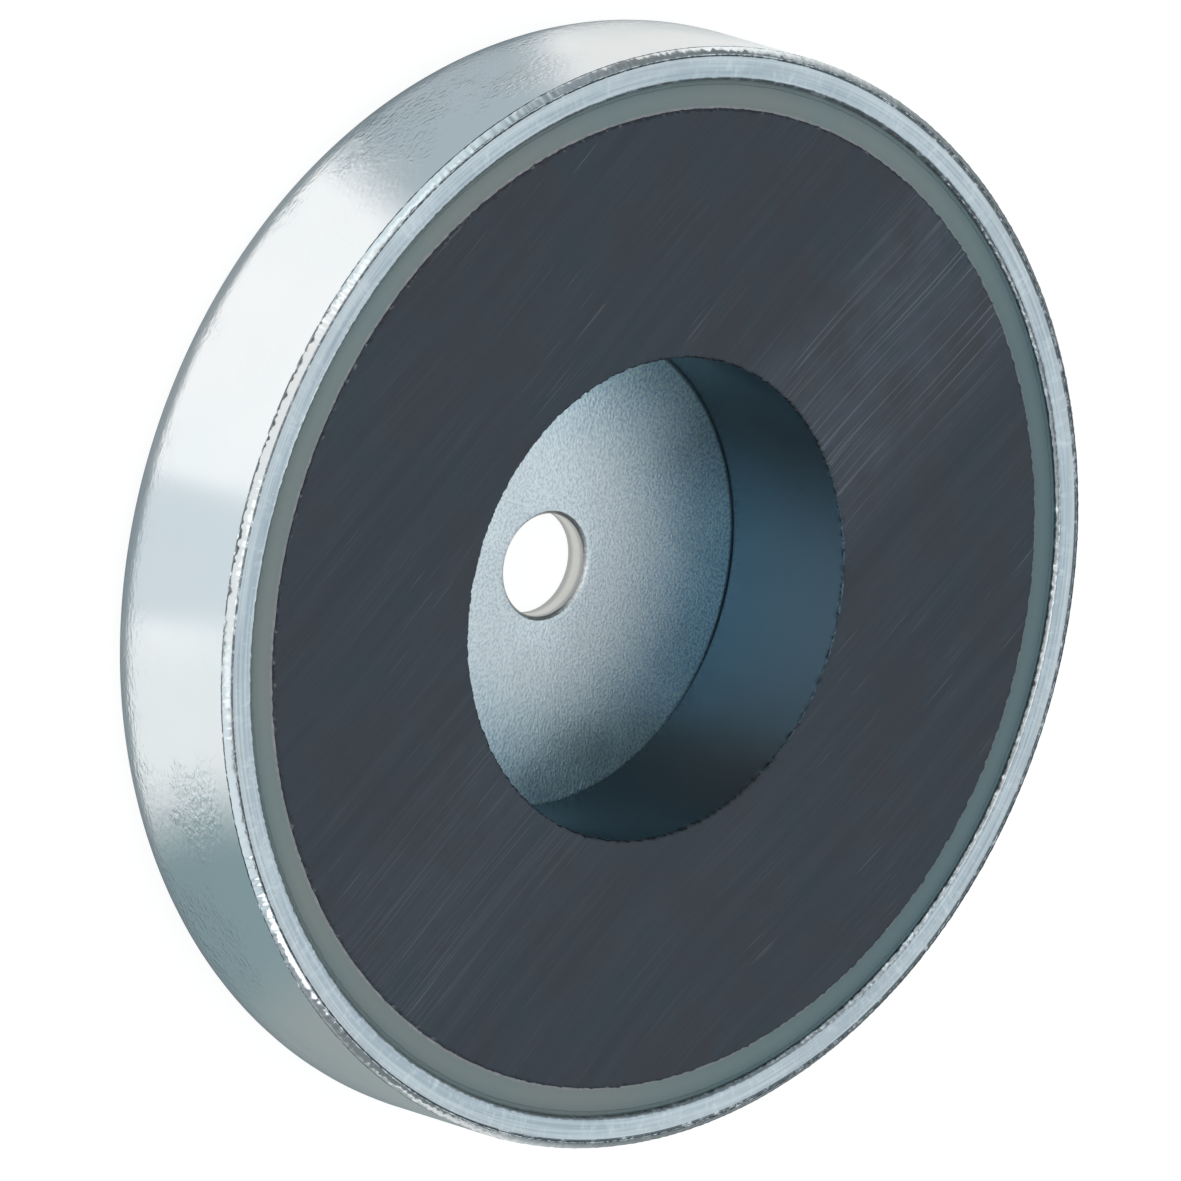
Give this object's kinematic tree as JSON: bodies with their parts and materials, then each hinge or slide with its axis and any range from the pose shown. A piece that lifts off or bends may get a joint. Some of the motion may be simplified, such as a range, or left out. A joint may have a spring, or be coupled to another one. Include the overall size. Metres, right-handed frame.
{
  "type": "pot magnet",
  "caption": "Round pot magnet: a drawn steel cup holding a ring magnet flush with its rim, and a screw hole through the cup's floor.",
  "frame": {"origin": "centre of the closed back's face, which is also the middle of the screw hole", "axes": "+Z along the axis of revolution, out of the magnet face; X and Y are any two directions across it"},
  "size_m": [0.081, 0.081, 0.0147],
  "materials": {
    "zinc_plated_steel": "satin",
    "ferrite": "matte",
    "spacer_plastic": "satin"
  },
  "bodies": {
    "root": {"cup": "zinc_plated_steel", "ring_magnet": "ferrite", "spacer_ring": "spacer_plastic"}
  },
  "joints": []
}
